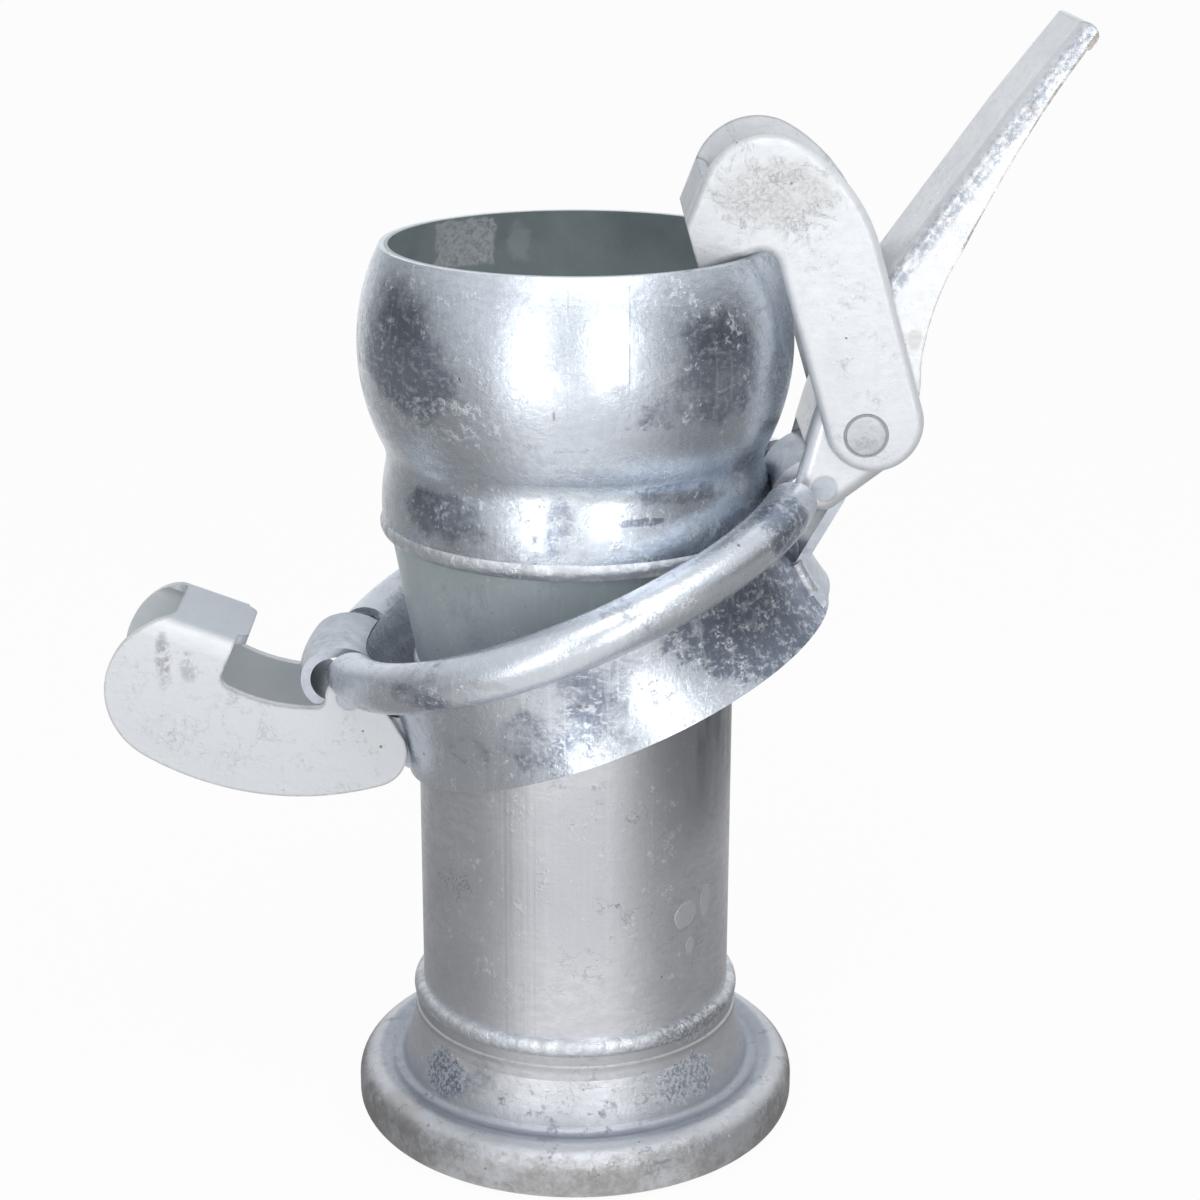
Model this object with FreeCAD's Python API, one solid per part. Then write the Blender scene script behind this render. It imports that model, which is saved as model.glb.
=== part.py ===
import os
import math
import FreeCAD
import Part

# Irrigation pipe reducer: a ball-ended male half, a reducing cone, a straight pipe
# and a rolled-rim female socket, with a loose closure ring that carries two hooks.
# Millimetres. Z runs up the pipe, the socket stands on z = 0, the lever is at +X.

# Straight pipe
pipe_r = 54.0
pipe_wall = 3.0
pipe_bottom = 45.0
pipe_length = 123.0

# Ball end and reducing cone
ball_r = 72.0
ball_wall = 2.6
ball_rise = 60.0
mouth_rise = 33.0
waist_in = 8.9
waist_fillet = 11.5
band_in = 7.1
band_crown = 60.0
cone_length = 49.0
cone_step = 1.9
cone_wall = 3.0

# Weld beads, radius of each round section
bead_ball_r = 3.6
bead_pipe_r = 2.6
bead_socket_r = 3.2
foot_bead_r = 2.4
side_bead_r = 2.2
side_bead_drops = (21.0, 27.0, 33.0)

# Female socket
socket_wall = 3.4
collar_over = 2.4
collar_groove = 0.7
collar_step_drop = 5.2
flare_drop = 10.6
crest_r = 8.2
crest_z = 10.4
crest_turn = 61.8
rim_over = 5.6
trough_fillet = 3.0
heel_r = 5.2
lip_catch = 1.4

# Rubber sealing ring
seal_gap = 0.1
seal_reach = 9.1
seal_lip_drop = 6.1
seal_lip_depth = 2.7

# Closure ring: bead circle, curl and hourglass skirt
ring_sheet = 2.6
throat_play = 0.2
bead_out = 9.6
bead_tube_r = 8.3
throat_drop = 18.0
skirt_drop = 41.4
curl_end_deg = -125.0
ring_tilt = 22.5
ring_hang = 17.4
ring_y = -4.3
neck_seat_gap = 0.75

# Ear straps
strap_half = 19.0
strap_t = 3.2
eye_reach = 6.3
eye_rise = 0.0
eye_r = 9.0
strap_foot_drop = 37.0
strap_leave_drop = 22.0

# Hinge pins and rivet
pin_r = 4.0
pin_fit = 0.05
rivet_r = 6.0
touch = 0.08
limb_seat = 17.0

# Lever
side_gap = 0.5
lever_sheet = 3.0
lever_round = 5.0
rivet_dx = 12.5
rivet_dz = 18.7
foot_at = (-1.4, -0.3)
foot_r = 8.5
web_foot_at = (-6.3, 15.2)
web_bend_at = (20.0, 73.2)
web_kink_at = (54.6, 122.2)
web_tip_at = (74.7, 148.2)
edge_foot_at = (20.5, 5.8)
edge_bulge_at = (27.7, 21.2)
edge_base_at = (29.7, 40.2)
edge_turn_at = (32.7, 57.2)
edge_waist_at = (41.6, 78.2)
edge_long_at = (67.0, 125.4)
edge_tip_at = (76.4, 139.6)
tip_nose_at = (79.3, 146.2)
open_side = 90.0
open_foot = -30.0

# Fixed hook, offsets from its pin
head_dx = -55.7
head_dz = 1.5
head_r = 26.0
head_bend_deg = 94.4
belly_r = 98.9
heel_round = 12.1
heel_drop = 27.9
rest_gap = 0.45
boss_r = 8.0
floor_dx = -12.6
floor_dz = -3.8
floor_r = 58.0
floor_rise = 3.0
lip_dx = -37.2
lip_dz = 19.8
wall_deg = 66.0
notch_r = 4.0
head_fold_r = 7.5
lip_tongue = 3.4
web_corner_r = 4.5

# Hook plates
hook_sheet = 3.5
hook_width = 32.0
hook_lean = 106.4
bar_mid = 3.6
bar_end = 2.6
back_r = 57.0
back_drop = 24.0
hook_head_rise = 13.9
hook_crown_r = 21.5
hook_nose_reach = 25.9
hook_nose_lift = 1.5
hook_roof_clear = 0.14
hook_mouth_fillet = 6.0
hook_undercut = 5.0
nose_round = 3.0


def point(x, z):
    return FreeCAD.Vector(x, 0, z)


def line(a, b):
    return Part.LineSegment(a, b).toShape()


def arc_through(a, m, b):
    return Part.Arc(a, m, b).toShape()


def arc_about(centre, radius, start, end):
    # Arc in the XZ plane, angles in degrees from +X towards +Z.
    pts = []
    for deg in (start, (start + end) / 2.0, end):
        a = math.radians(deg)
        pts.append(point(centre[0] + radius * math.cos(a), centre[1] + radius * math.sin(a)))
    return arc_through(*pts)


def on_circle(centre, radius, deg):
    a = math.radians(deg)
    return (centre[0] + radius * math.cos(a), centre[1] + radius * math.sin(a))


def heading(a, b):
    return math.degrees(math.atan2(b[1] - a[1], b[0] - a[0]))


def join(a, b):
    return line(point(*a), point(*b))


def spin(edges):
    face = Part.Face(Part.Wire(Part.__sortEdges__(edges)))
    return face.revolve(FreeCAD.Vector(0, 0, 0), FreeCAD.Vector(0, 0, 1), 360)


def prism(edges, y_from, y_to):
    face = Part.Face(Part.Wire(Part.__sortEdges__(edges)))
    face.translate(FreeCAD.Vector(0, y_from, 0))
    return face.extrude(FreeCAD.Vector(0, y_to - y_from, 0))


def polygon(points):
    closed = points + points[:1]
    return [join(closed[i], closed[i + 1]) for i in range(len(points))]


def rod(x, z, radius, y_from, y_to):
    base = FreeCAD.Vector(x, y_from, z)
    return Part.makeCylinder(radius, y_to - y_from, base, FreeCAD.Vector(0, 1, 0))


def slab(x0, x1, y0, y1, z0, z1):
    return Part.makeBox(x1 - x0, y1 - y0, z1 - z0, FreeCAD.Vector(x0, y0, z0))


def tube_wall(outer_r, inner_r, z0, z1):
    return spin(polygon([(inner_r, z0), (outer_r, z0), (outer_r, z1), (inner_r, z1)]))


def solid_of(shape):
    clean = shape.removeSplitter()
    return clean.Solids[0] if len(clean.Solids) == 1 else clean


# Heights and radii that follow from the sizes above
pipe_top = pipe_bottom + pipe_length
cone_top_z = pipe_top + cone_length
ball_centre_z = cone_top_z + ball_rise
mouth_z = ball_centre_z + mouth_rise
waist_r = ball_r - waist_in
band_r = ball_r - band_in
collar_r = pipe_r + collar_over
rim_outer_r = ball_r + rim_over
lip_in_r = ball_r - lip_catch
throat_r = ball_r + throat_play
bead_circle_r = throat_r + bead_out
ring_z = cone_top_z - ring_hang

# Ball end: band arc, concave waist and sphere, tangent to each other.
fillet_c_r = waist_r + waist_fillet
waist_z = ball_centre_z - math.sqrt((ball_r + waist_fillet) ** 2 - fillet_c_r ** 2)
band_c_r = band_r - band_crown
band_z = waist_z - math.sqrt((band_crown + waist_fillet) ** 2 - (fillet_c_r - band_c_r) ** 2)
ball_c = (0.0, ball_centre_z)
fillet_c = (fillet_c_r, waist_z)
band_c = (band_c_r, band_z)


def ball_side(inset):
    # Edges and end points of the wall's outer side, or of its inner side.
    ball_rad = ball_r - inset
    band_rad = band_crown - inset
    foot_deg = math.degrees(math.asin((cone_top_z - band_z) / band_rad))
    to_fillet = heading(band_c, fillet_c)
    ball_deg = heading(ball_c, fillet_c)
    mouth_deg = math.degrees(math.asin((mouth_z - ball_centre_z) / ball_rad))
    edges = [
        arc_about(band_c, band_rad, foot_deg, to_fillet),
        arc_about(fillet_c, waist_fillet + inset, to_fillet - 180.0, ball_deg - 180.0),
        arc_about(ball_c, ball_rad, ball_deg, mouth_deg),
    ]
    if ball_deg - to_fillet < -180.0:
        edges[1] = arc_about(fillet_c, waist_fillet + inset, to_fillet - 180.0, ball_deg + 180.0)
    return edges, on_circle(band_c, band_rad, foot_deg), on_circle(ball_c, ball_rad, mouth_deg)


outer_edges, outer_foot, outer_mouth = ball_side(0.0)
inner_edges, inner_foot, inner_mouth = ball_side(ball_wall)
ball_end = spin(outer_edges + [join(outer_mouth, inner_mouth)] + inner_edges + [join(inner_foot, outer_foot)])
cone_top_r = outer_foot[0] - cone_step

reducing_cone = spin(polygon([
    (cone_top_r - cone_wall, cone_top_z),
    (cone_top_r, cone_top_z),
    (pipe_r, pipe_top),
    (pipe_r - pipe_wall, pipe_top),
]))

straight_pipe = tube_wall(pipe_r, pipe_r - pipe_wall, pipe_bottom, pipe_top)

# Female socket: collar, flare, trough, crest and curled rim.
crest_c = (rim_outer_r - crest_r, crest_z)
trough_c = on_circle(crest_c, crest_r + trough_fillet, 180.0 - crest_turn)
flare_top = (collar_r + collar_groove, pipe_bottom - flare_drop)
flare_span = math.hypot(flare_top[0] - trough_c[0], flare_top[1] - trough_c[1])
flare_angle = heading(trough_c, flare_top) - math.degrees(math.acos(-trough_fillet / flare_span))
flare_sin = math.sin(math.radians(flare_angle))
flare_cos = math.cos(math.radians(flare_angle))
heel_c = (rim_outer_r - heel_r, heel_r)
lip_top = socket_wall


def flare_foot(inset):
    return (trough_c[0] - (trough_fillet + inset) * flare_cos, trough_c[1] - (trough_fillet + inset) * flare_sin)


def trough_arc(radius):
    return arc_about(trough_c, radius, 180.0 + flare_angle, 360.0 - crest_turn)


inner_top = (flare_top[0] - socket_wall / flare_cos, flare_top[1])
collar_top_out = (collar_r, pipe_bottom)
collar_step_z = pipe_bottom - collar_step_drop
collar_step_out = (collar_r, collar_step_z)
inner_step_z = flare_top[1] + 2.0
socket_edges = [
    join(collar_top_out, collar_step_out),
    join(collar_step_out, (flare_top[0], collar_step_z - 0.5)),
    join((flare_top[0], collar_step_z - 0.5), flare_top),
    join(flare_top, flare_foot(0.0)),
    trough_arc(trough_fillet),
    arc_about(crest_c, crest_r, 180.0 - crest_turn, 0.0),
    join((rim_outer_r, crest_z), (rim_outer_r, heel_r)),
    arc_about(heel_c, heel_r, 0.0, -90.0),
    join((heel_c[0], 0.0), (lip_in_r, 0.0)),
    join((lip_in_r, 0.0), (lip_in_r, lip_top)),
    join((lip_in_r, lip_top), (heel_c[0], lip_top)),
    arc_about(heel_c, heel_r - socket_wall, -90.0, 0.0),
    join((rim_outer_r - socket_wall, heel_r), (rim_outer_r - socket_wall, crest_z)),
    arc_about(crest_c, crest_r - socket_wall, 0.0, 180.0 - crest_turn),
    trough_arc(trough_fillet + socket_wall),
    join(flare_foot(socket_wall), inner_top),
    join(inner_top, (collar_r - socket_wall, inner_step_z)),
    join((collar_r - socket_wall, inner_step_z), (collar_r - socket_wall, pipe_bottom)),
    join((collar_r - socket_wall, pipe_bottom), collar_top_out),
]
female_socket = spin(socket_edges)

# Rubber ring in the rim's channel, with a lip that reaches towards the ball.
seal_r = crest_r - socket_wall - seal_gap
seal_bead = Part.makeTorus(crest_c[0], seal_r, FreeCAD.Vector(0, 0, crest_z), FreeCAD.Vector(0, 0, 1))
seal_lip_r = crest_c[0] - seal_reach
seal_lip_low = crest_z - seal_lip_drop
seal_lip_high = seal_lip_low + seal_lip_depth
seal_lip = spin(polygon([
    (crest_c[0] - 1.0, crest_z - seal_r + 0.9),
    (seal_lip_r, seal_lip_low),
    (seal_lip_r + 0.4, seal_lip_high - 0.6),
    (crest_c[0] - seal_r + 1.6, seal_lip_high + 2.4),
]))
seal_ring = solid_of(seal_bead.fuse(seal_lip))


def weld_bead(centre, radius, bodies):
    # Bead of round section, cut to sit on the outside of the walls it joins.
    inner = centre[0] - 1.2
    disc = spin([
        arc_about(centre, radius, -math.degrees(math.acos(-1.2 / radius)), math.degrees(math.acos(-1.2 / radius))),
        line(point(inner, centre[1] + math.sqrt(radius ** 2 - 1.44)),
             point(inner, centre[1] - math.sqrt(radius ** 2 - 1.44))),
    ])
    for body in bodies:
        disc = disc.cut(body)
    return solid_of(max(disc.Solids, key=lambda s: s.Volume))


weld_ball = weld_bead(((outer_foot[0] + cone_top_r) / 2.0 - 1.6, cone_top_z), bead_ball_r, [ball_end, reducing_cone])
weld_pipe = weld_bead((pipe_r - 1.2, pipe_top), bead_pipe_r, [reducing_cone, straight_pipe])
weld_socket = weld_bead((pipe_r + 0.2, pipe_bottom + 0.4), bead_socket_r, [straight_pipe, female_socket])

# Closure ring in its own frame: axis Z, bead circle centre at the origin.
curl_r = bead_tube_r - ring_sheet / 2.0
curl_c = (bead_circle_r, 0.0)
throat_in = bead_circle_r - throat_r
skirt_curve = (throat_in ** 2 + throat_drop ** 2 - curl_r ** 2) / (2.0 * (throat_in - curl_r))
skirt_c = (throat_r + skirt_curve, -throat_drop)
join_deg = heading(skirt_c, curl_c)
half_sheet = ring_sheet / 2.0
foot_deg = 180.0 + math.degrees(math.asin((skirt_drop - throat_drop) / skirt_curve))


def skirt_radius(drop, offset):
    # Radius of the skirt's side at a depth below the bead circle.
    return skirt_c[0] - math.sqrt((skirt_curve + offset) ** 2 - (drop - throat_drop) ** 2)


def band_section(centre, mid_r, thickness, start, end):
    half = thickness / 2.0
    return [
        arc_about(centre, mid_r - half, start, end),
        join(on_circle(centre, mid_r - half, end), on_circle(centre, mid_r + half, end)),
        arc_about(centre, mid_r + half, end, start),
        join(on_circle(centre, mid_r + half, start), on_circle(centre, mid_r - half, start)),
    ]


def gap_box(side, half):
    x0, x1 = sorted((side * 30.0, side * 120.0))
    return slab(x0, x1, -half, half, -30.0, 30.0)


hook_half_in = strap_half + side_gap
lever_half = strap_half + side_gap + lever_sheet
fixed_half = hook_half_in + hook_sheet
pull_half_in = lever_half + side_gap
pull_half = pull_half_in + hook_sheet
skirt = spin(band_section(skirt_c, skirt_curve, ring_sheet, join_deg, foot_deg))
curl = spin(band_section(curl_c, curl_r, ring_sheet, join_deg, curl_end_deg))
curl = curl.cut(gap_box(-1, fixed_half + 1.0)).cut(gap_box(1, pull_half + 0.8))
ring_local = solid_of(skirt.fuse(curl))

# Ear strap: rises from the ring wall, rolls over the eye and runs down the skirt.
wall_top = on_circle(skirt_c, skirt_curve - (strap_t - ring_sheet) / 2.0, join_deg)
eye_c = (bead_circle_r + eye_reach, eye_rise)
eye_top = eye_c[1] + eye_r
rise_dx = eye_c[0] - wall_top[0]
rise_dz = eye_top - wall_top[1]
rise_r = (rise_dx ** 2 + rise_dz ** 2) / (2.0 * rise_dz)
rise_c = (eye_c[0], eye_top - rise_r)
leave = (skirt_radius(strap_leave_drop, -half_sheet - strap_t / 2.0), -strap_leave_drop)
leave_span = math.hypot(eye_c[0] - leave[0], eye_c[1] - leave[1])
limb_deg = heading(leave, eye_c) - math.degrees(math.asin(eye_r / leave_span))
limb_len = math.sqrt(leave_span ** 2 - eye_r ** 2)
limb_end = on_circle(leave, limb_len, limb_deg)
limb_in = limb_deg + 90.0


def limb_section():
    half = strap_t / 2.0
    return polygon([
        on_circle(leave, half, limb_in),
        on_circle(limb_end, half, limb_in),
        on_circle(limb_end, half, limb_in + 180.0),
        on_circle(leave, half, limb_in + 180.0),
    ])


def strap_foot_section():
    curve = skirt_curve - half_sheet - strap_t / 2.0
    a0 = 180.0 + math.degrees(math.asin((strap_leave_drop - throat_drop - 1.2) / curve))
    a1 = 180.0 + math.degrees(math.asin((strap_foot_drop - throat_drop) / curve))
    return band_section(skirt_c, curve, strap_t, a0, a1)


def ear_strap(side):
    parts = [
        spin(band_section(rise_c, rise_r, strap_t, heading(rise_c, wall_top), 90.0)),
        spin(band_section(eye_c, eye_r, strap_t, 90.0, limb_in - 180.0)),
        spin(limb_section()),
        spin(strap_foot_section()),
    ]
    whole = parts[0].fuse(parts[1:])
    x0, x1 = sorted((0.0, side * 130.0))
    strip = whole.common(slab(x0, x1, -strap_half, strap_half, -80.0, 40.0))
    return solid_of(strip.cut(ring_local))


def foot_bead(side, strap):
    # Weld along the lower end of a strap's foot.
    centre = (skirt_radius(strap_foot_drop, -half_sheet), -strap_foot_drop)
    x0, x1 = sorted((0.0, side * 130.0))
    bead = spin([Part.makeCircle(foot_bead_r, point(*centre), FreeCAD.Vector(0, 1, 0))])
    bead = bead.common(slab(x0, x1, -strap_half, strap_half, -80.0, 40.0))
    bead = bead.cut(ring_local).cut(strap)
    return solid_of(max(bead.Solids, key=lambda part: part.Volume))


def side_bead(side, strap):
    # Weld down one side of the right strap's foot.
    path = []
    for drop in side_bead_drops:
        edge_e = math.sqrt(skirt_radius(drop, -half_sheet) ** 2 - strap_half ** 2)
        path.append(FreeCAD.Vector(edge_e + 0.4, side * strap_half, -drop))
    wire = Part.Wire([arc_through(*path)])
    start = Part.Wire([Part.makeCircle(side_bead_r, path[0], path[1].sub(path[0]))])
    bead = wire.makePipeShell([start], True, False)
    bead = bead.cut(ring_local).cut(strap)
    return solid_of(max(bead.Solids, key=lambda part: part.Volume))


# Ring position: the curl's inside rests on the neck band at the right.
tilt_cos = math.cos(math.radians(ring_tilt))
tilt_sin = math.sin(math.radians(ring_tilt))
ring_x = band_r + neck_seat_gap - (bead_circle_r * tilt_cos - bead_tube_r)
ring_place = FreeCAD.Placement(
    FreeCAD.Vector(ring_x, ring_y, ring_z),
    FreeCAD.Rotation(FreeCAD.Vector(0, 1, 0), -ring_tilt),
)


def on_ring(e, h):
    # Row-frame x and z of a point given along the ring's own axes.
    return (ring_x + e * tilt_cos - h * tilt_sin, ring_z + e * tilt_sin + h * tilt_cos)


def placed(shape):
    moved = shape.copy()
    moved.Placement = ring_place.multiply(moved.Placement)
    return moved


def at_edge(radius):
    # A circle about the ring axis, seen where it leaves the strap's side.
    return math.sqrt(radius ** 2 - strap_half ** 2)


eye_in = eye_r - strap_t / 2.0
seat_r = eye_in - pin_r - touch
pull_e = at_edge(eye_c[0]) + seat_r
pull_h = eye_c[1]
limb_pt = on_circle(on_circle(leave, limb_seat, limb_deg), strap_t / 2.0, limb_in)
fixed_pt = on_circle((at_edge(limb_pt[0]), limb_pt[1]), pin_r + touch, limb_in)
fixed_e = -fixed_pt[0]
fixed_h = fixed_pt[1]


def hinge_pin(e, h, half):
    return placed(rod(e, h, pin_r, -half, half))


strap_left = ear_strap(-1)
strap_right = ear_strap(1)
closure_ring = placed(ring_local)
ear_strap_left = placed(strap_left)
ear_strap_right = placed(strap_right)
ear_weld_left = placed(foot_bead(-1, strap_left))
ear_weld_right = placed(foot_bead(1, strap_right))
side_weld_near = placed(side_bead(-1, strap_right))
side_weld_far = placed(side_bead(1, strap_right))
hinge_pin_left = hinge_pin(fixed_e, fixed_h, fixed_half)
hinge_pin_right = hinge_pin(pull_e, pull_h, lever_half)
fixed_pivot = on_ring(fixed_e, fixed_h)
pull_pivot = on_ring(pull_e, pull_h)


def from_pivot(pivot, dx, dz):
    return (pivot[0] + dx, pivot[1] + dz)


# Fixed hook: comma-shaped cheeks with an ear at the pin, a heel below it and a web at the nose.
head_c = from_pivot(fixed_pivot, head_dx, head_dz)
heel_skirt = skirt_radius(heel_drop, -half_sheet)
heel_e = math.sqrt(heel_skirt ** 2 - hook_half_in ** 2) + rest_gap + heel_round
heel_pt = on_ring(-heel_e, -heel_drop)
head_to_heel = math.hypot(heel_pt[0] - head_c[0], heel_pt[1] - head_c[1])
head_reach = belly_r - head_r
heel_reach = belly_r - heel_round
along = (head_to_heel ** 2 + head_reach ** 2 - heel_reach ** 2) / (2.0 * head_to_heel)
across = math.sqrt(head_reach ** 2 - along ** 2)
head_heel_deg = heading(head_c, heel_pt)
belly_c = on_circle(on_circle(head_c, along, head_heel_deg), across, head_heel_deg + 90.0)
head_low_deg = heading(belly_c, head_c)
heel_low_deg = heading(belly_c, heel_pt)
floor_low = from_pivot(fixed_pivot, floor_dx, floor_dz)
floor_c = (floor_low[0], floor_low[1] + floor_r)
lip_pt = from_pivot(fixed_pivot, lip_dx, lip_dz)


def outer_tangent(c0, r0, c1, r1, side):
    # Ends of the straight tangent that leaves two circles on the same side.
    base = heading(c0, c1)
    span = math.hypot(c1[0] - c0[0], c1[1] - c0[1])
    turn = base + side * math.degrees(math.acos((r0 - r1) / span))
    return on_circle(c0, r0, turn), on_circle(c1, r1, turn), turn


def point_tangent_deg(centre, radius, p, side):
    # Angle on the circle where a straight line to p leaves it.
    span = math.hypot(p[0] - centre[0], p[1] - centre[1])
    return heading(centre, p) + side * math.degrees(math.acos(radius / span))


def notch_corner():
    # Fillet between the floor arc and the leaning notch wall.
    wx = math.cos(math.radians(wall_deg))
    wz = math.sin(math.radians(wall_deg))
    base = (lip_pt[0] + notch_r * wz, lip_pt[1] - notch_r * wx)
    reach = floor_r - notch_r
    dx = base[0] - floor_c[0]
    dz = base[1] - floor_c[1]
    b = -(dx * wx + dz * wz)
    c = dx * dx + dz * dz - reach * reach
    s = -b + math.sqrt(b * b - c)
    return (base[0] - s * wx, base[1] - s * wz)


corner_c = notch_corner()
corner_wall = on_circle(corner_c, notch_r, 90.0 + wall_deg)
corner_floor_deg = heading(floor_c, corner_c)
web_top = on_circle(head_c, head_r, head_bend_deg)
boss_t, heel_t, right_deg = outer_tangent(fixed_pivot, boss_r, heel_pt, heel_round, 1.0)
rise_z = floor_low[1] + floor_rise
rise_x = fixed_pivot[0] - math.sqrt((boss_r + floor_rise) ** 2 - (rise_z - fixed_pivot[1]) ** 2)
rise_pt = (rise_x, rise_z)
boss_left_deg = heading(rise_pt, fixed_pivot) + 180.0

fixed_outline = [
    join(web_top, lip_pt),
    join(lip_pt, corner_wall),
    arc_about(corner_c, notch_r, 90.0 + wall_deg, 360.0 + corner_floor_deg),
    arc_about(floor_c, floor_r, corner_floor_deg, -90.0),
    join(floor_low, (rise_x, floor_low[1])),
    arc_about(rise_pt, floor_rise, -90.0, boss_left_deg - 180.0),
    arc_about(fixed_pivot, boss_r, boss_left_deg, right_deg),
    join(boss_t, heel_t),
    arc_about(heel_pt, heel_round, right_deg, heel_low_deg),
    arc_about(belly_c, belly_r, heel_low_deg, head_low_deg),
    arc_about(head_c, head_r, 360.0 + head_low_deg, head_bend_deg),
]


def paired(outline, half_in, half_out):
    near = prism(outline, -half_out, -half_in)
    far = prism(outline, half_in, half_out)
    return near, far


def web_plate(outline, edge_from, edge_to, half_out):
    # Bent strip that joins two cheeks along one straight edge of their outline.
    direction = heading(edge_from, edge_to)
    inward = direction - 90.0
    strip = polygon([
        edge_from,
        edge_to,
        on_circle(edge_to, hook_sheet, inward),
        on_circle(edge_from, hook_sheet, inward),
    ])
    return prism(outline, -half_out, half_out).common(prism(strip, -half_out, half_out))


def rounded_along(shape, a, b, radius, half):
    # Rounds the long outside edges that lie on the straight line from a to b.
    chosen = []
    for edge in shape.Edges:
        mid = edge.valueAt((edge.FirstParameter + edge.LastParameter) / 2.0)
        along = heading(a, b)
        off = abs((mid.x - a[0]) * math.sin(math.radians(along)) - (mid.z - a[1]) * math.cos(math.radians(along)))
        on_side = abs(abs(mid.y) - half) < 1e-4
        between = min(a[0], b[0]) - 0.01 < mid.x < max(a[0], b[0]) + 0.01
        level = min(a[1], b[1]) - 0.01 < mid.z < max(a[1], b[1]) + 0.01
        if off < 1e-4 and on_side and between and level and edge.Length > 2.0:
            chosen.append(edge)
    return shape.makeFillet(radius, chosen) if chosen else shape


def across_web(origin, deg, out, y):
    # Point beside the web's line: out along its outward normal, y across it.
    at = on_circle(origin, out, deg - 90.0)
    return FreeCAD.Vector(at[0], y, at[1])


def fold_section(origin, deg, half, inset, fold_r):
    # Half-open section of a folded sheet, square to the web's line, rounded at both folds.
    side = half - inset
    depth = fixed_reach
    turn = fold_r * (1.0 - math.sqrt(0.5))
    marks = [
        (-inset - depth, -side), (-inset - fold_r, -side), (-inset - turn, -side + turn), (-inset, -side + fold_r),
        (-inset, side - fold_r), (-inset - turn, side - turn), (-inset - fold_r, side), (-inset - depth, side),
    ]
    at = [across_web(origin, deg, out, y) for out, y in marks]
    edges = [line(at[0], at[1]), arc_through(at[1], at[2], at[3]), line(at[3], at[4])]
    edges += [arc_through(at[4], at[5], at[6]), line(at[6], at[7]), line(at[7], at[0])]
    return Part.Face(Part.Wire(edges))


def along_web(face, deg, start, end):
    # Sweeps a section along the web's line between two distances.
    step = FreeCAD.Vector(math.cos(math.radians(deg)), 0, math.sin(math.radians(deg)))
    moved = face.copy()
    moved.translate(step * start)
    return moved.extrude(step * (end - start))


def web_blank(start, end, half, corner_r, thickness):
    # Flat strip of the web with rounded corners at its far end.
    box = Part.makeBox(end - start, 2.0 * half, thickness, FreeCAD.Vector(start, -half, -thickness))
    corners = []
    for edge in box.Edges:
        mid = edge.valueAt((edge.FirstParameter + edge.LastParameter) / 2.0)
        if abs(mid.x - end) < 1e-6 and abs(abs(mid.y) - half) < 1e-6:
            corners.append(edge)
    return box.makeFillet(corner_r, corners)


def laid_on_web(shape, origin, deg):
    # Turns a strip drawn along +X, with its outside up, onto the web's line.
    moved = shape.copy()
    moved.Placement = FreeCAD.Placement(
        FreeCAD.Vector(origin[0], 0, origin[1]),
        FreeCAD.Rotation(FreeCAD.Vector(0, 1, 0), -deg),
    ).multiply(moved.Placement)
    return moved


web_deg = heading(web_top, lip_pt)
web_length = math.hypot(lip_pt[0] - web_top[0], lip_pt[1] - web_top[1])
fixed_reach = 1.5 * belly_r


def past_lip(half):
    # Plain block between the cheeks' sides, from the lip towards the pin.
    high = on_circle(lip_pt, fixed_reach, web_deg + 90.0)
    low = on_circle(lip_pt, fixed_reach, web_deg - 90.0)
    ends = [on_circle(low, fixed_reach, web_deg), on_circle(high, fixed_reach, web_deg)]
    return prism(polygon([high, low] + ends), -half, half)


flat_half = fixed_half - head_fold_r
outer_fold = fold_section(web_top, web_deg + 180.0, fixed_half, 0.0, head_fold_r)
inner_fold = fold_section(web_top, web_deg + 180.0, fixed_half, hook_sheet, head_fold_r - hook_sheet)
outer_shape = along_web(outer_fold, web_deg, -fixed_reach, web_length).fuse(past_lip(fixed_half))
inner_shape = along_web(inner_fold, web_deg, -fixed_reach, web_length).fuse(past_lip(hook_half_in))
fixed_block = prism(fixed_outline, -fixed_half, fixed_half).common(outer_shape).cut(inner_shape)
web_gap = web_blank(-fixed_reach, 0.0, flat_half + 0.5 * hook_sheet, web_corner_r, 3.0 * hook_sheet)
web_gap.translate(FreeCAD.Vector(0, 0, hook_sheet))
tongue = web_blank(0.5 * web_length, web_length + lip_tongue, flat_half, web_corner_r, hook_sheet)
fixed_block = fixed_block.cut(laid_on_web(web_gap, web_top, web_deg))
fixed_hook = solid_of(fixed_block.fuse(laid_on_web(tongue, web_top, web_deg)))
fixed_hook = fixed_hook.cut(rod(fixed_pivot[0], fixed_pivot[1], pin_r + pin_fit, -fixed_half - 1, fixed_half + 1))
fixed_hook = solid_of(fixed_hook)
fixed_hook.translate(FreeCAD.Vector(0, ring_y, 0))

# Lever hook, drawn along its own bar: u to the outer side, v towards the head, origin at the rivet.
rivet_at = from_pivot(pull_pivot, rivet_dx, rivet_dz)
lean_cos = math.cos(math.radians(hook_lean))
lean_sin = math.sin(math.radians(hook_lean))


def bar(u, v):
    return (rivet_at[0] + u * lean_sin + v * lean_cos, rivet_at[1] - u * lean_cos + v * lean_sin)


def bar_deg(local):
    return local + hook_lean - 90.0


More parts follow.
